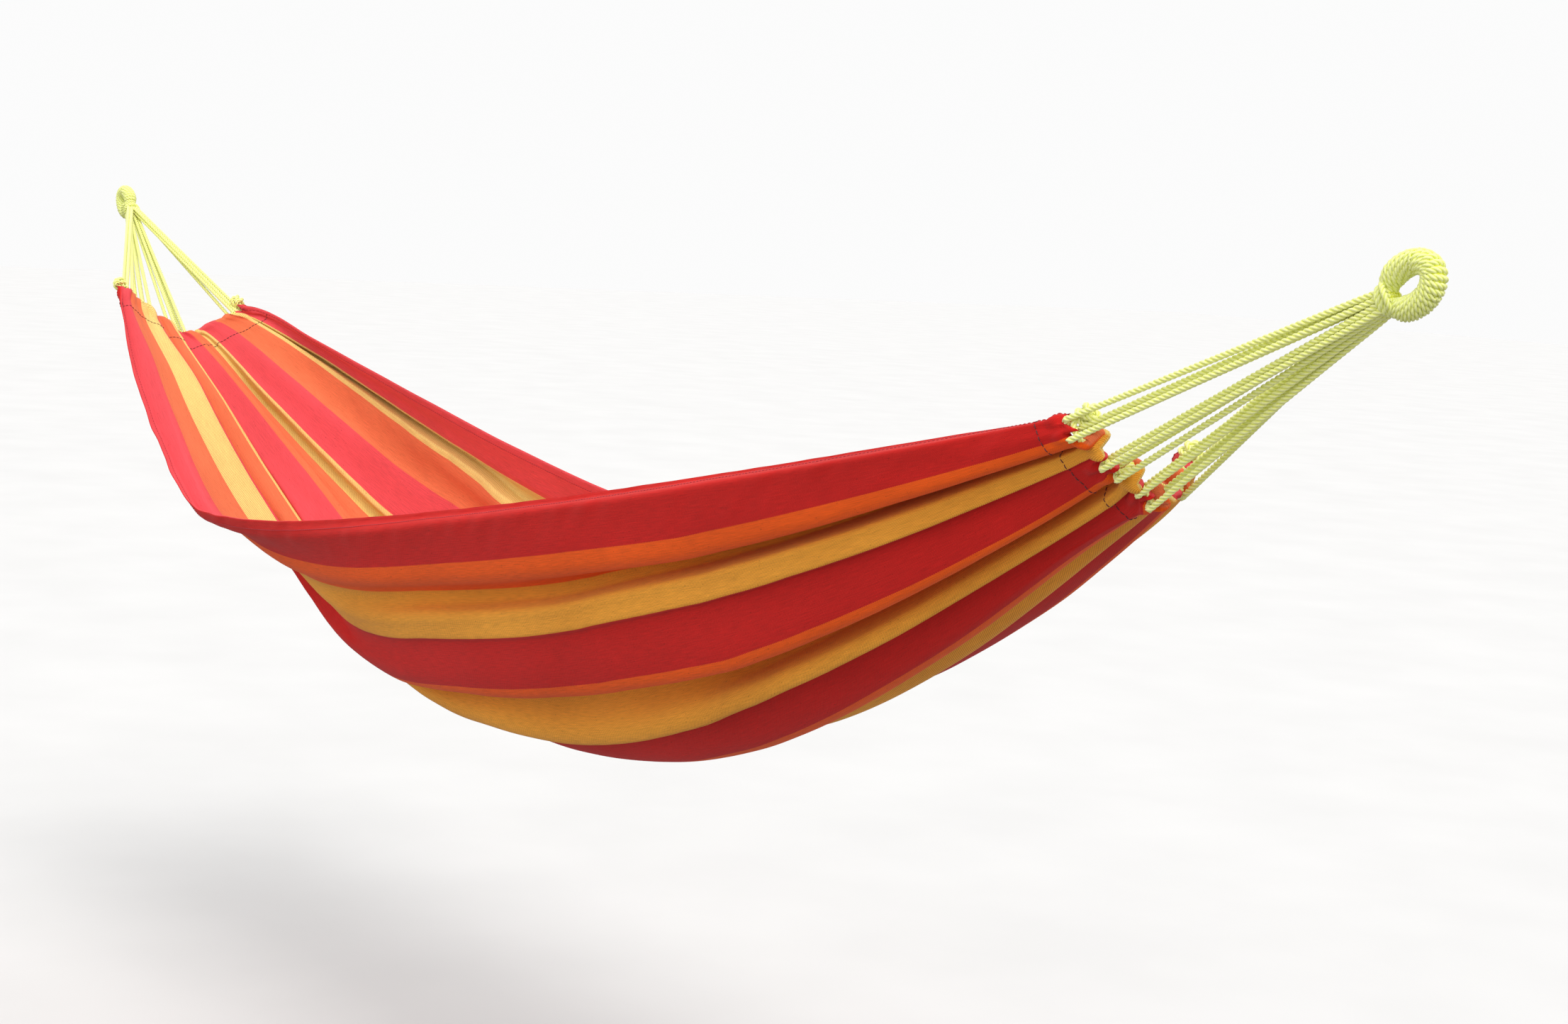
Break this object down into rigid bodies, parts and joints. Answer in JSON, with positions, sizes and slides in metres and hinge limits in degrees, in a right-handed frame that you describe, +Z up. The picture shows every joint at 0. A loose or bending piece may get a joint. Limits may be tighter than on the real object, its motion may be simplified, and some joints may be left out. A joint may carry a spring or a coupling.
{
  "type": "hammock",
  "caption": "Gathered-end hammock with a striped woven cotton bed, hung at each end by a fan of twisted cords from a cord-served eye.",
  "frame": {"origin": "left eye's seat: the inside of its hole opposite the throat, where the hook bears", "axes": "+X from the left eye's seat to the right eye's seat, +Z up, -Y the side where the bed's rim hangs lower"},
  "size_m": [2.4499, 0.3687, 0.5955],
  "materials": {
    "bed_cloth": "matt woven cotton in red, orange and yellow lengthwise stripes",
    "cord": "soft three-strand twisted cord, pale lime",
    "serving": "tight turns of twisted line, pale lime"
  },
  "bodies": {
    "left_eye": {"left_eye_core": "cord", "left_eye_serving": "serving"},
    "left_throat": {"left_throat_seizing": "serving"},
    "left_harness": {"left_cord_loop_1": "cord", "left_cord_loop_2": "cord", "left_cord_loop_3": "cord", "left_cord_loop_4": "cord", "left_cord_loop_5": "cord", "left_cord_loop_6": "cord", "left_cord_loop_7": "cord", "left_cord_loop_8": "cord"},
    "bed": {"bed_cloth": "bed_cloth", "left_header_rope": "cord", "right_header_rope": "cord"},
    "right_harness": {"right_cord_loop_1": "cord", "right_cord_loop_2": "cord", "right_cord_loop_3": "cord", "right_cord_loop_4": "cord", "right_cord_loop_5": "cord", "right_cord_loop_6": "cord", "right_cord_loop_7": "cord", "right_cord_loop_8": "cord"},
    "right_throat": {"right_throat_seizing": "serving"},
    "right_eye": {"right_eye_core": "cord", "right_eye_serving": "serving"}
  },
  "joints": [
    {"name": "swing", "type": "hinge", "parent": "left_eye", "child": "left_throat", "pos_m": [0.02935, 0, -0.01695], "axis": [1, 0, 0], "range_deg": [-35, 35]},
    {"name": "hang_angle", "type": "hinge", "parent": "left_throat", "child": "left_harness", "pos_m": [0.02935, 0, -0.01695], "axis": [0, 1, 0], "range_deg": [-12, 20], "deforming": ["left_cord_loop_1", "left_cord_loop_2", "left_cord_loop_3", "left_cord_loop_4", "left_cord_loop_5", "left_cord_loop_6", "left_cord_loop_7", "left_cord_loop_8"]},
    {"name": "left_hem_fold", "type": "hinge", "parent": "left_harness", "child": "bed", "pos_m": [0.25646, 0, -0.158], "axis": [0, 1, 0], "range_deg": [-20, 12]},
    {"name": "right_hem_fold", "type": "hinge", "parent": "bed", "child": "right_harness", "pos_m": [2.15635, 0, -0.158], "axis": [0, 1, 0], "range_deg": [-20, 12], "deforming": ["right_cord_loop_1", "right_cord_loop_2", "right_cord_loop_3", "right_cord_loop_4", "right_cord_loop_5", "right_cord_loop_6", "right_cord_loop_7", "right_cord_loop_8"]},
    {"name": "right_hang_angle", "type": "hinge", "parent": "right_harness", "child": "right_throat", "pos_m": [2.38345, 0, -0.01695], "axis": [0, 1, 0], "range_deg": [-12, 20]},
    {"name": "right_eye_swing", "type": "hinge", "parent": "right_throat", "child": "right_eye", "pos_m": [2.38345, 0, -0.01695], "axis": [1, 0, 0], "range_deg": [-35, 35]}
  ],
  "couplings": [
    {"joint": "left_hem_fold", "follows": "hang_angle", "ratio": -1},
    {"joint": "right_hem_fold", "follows": "hang_angle", "ratio": -1},
    {"joint": "right_hang_angle", "follows": "hang_angle", "ratio": 1},
    {"joint": "right_eye_swing", "follows": "swing", "ratio": -1}
  ]
}
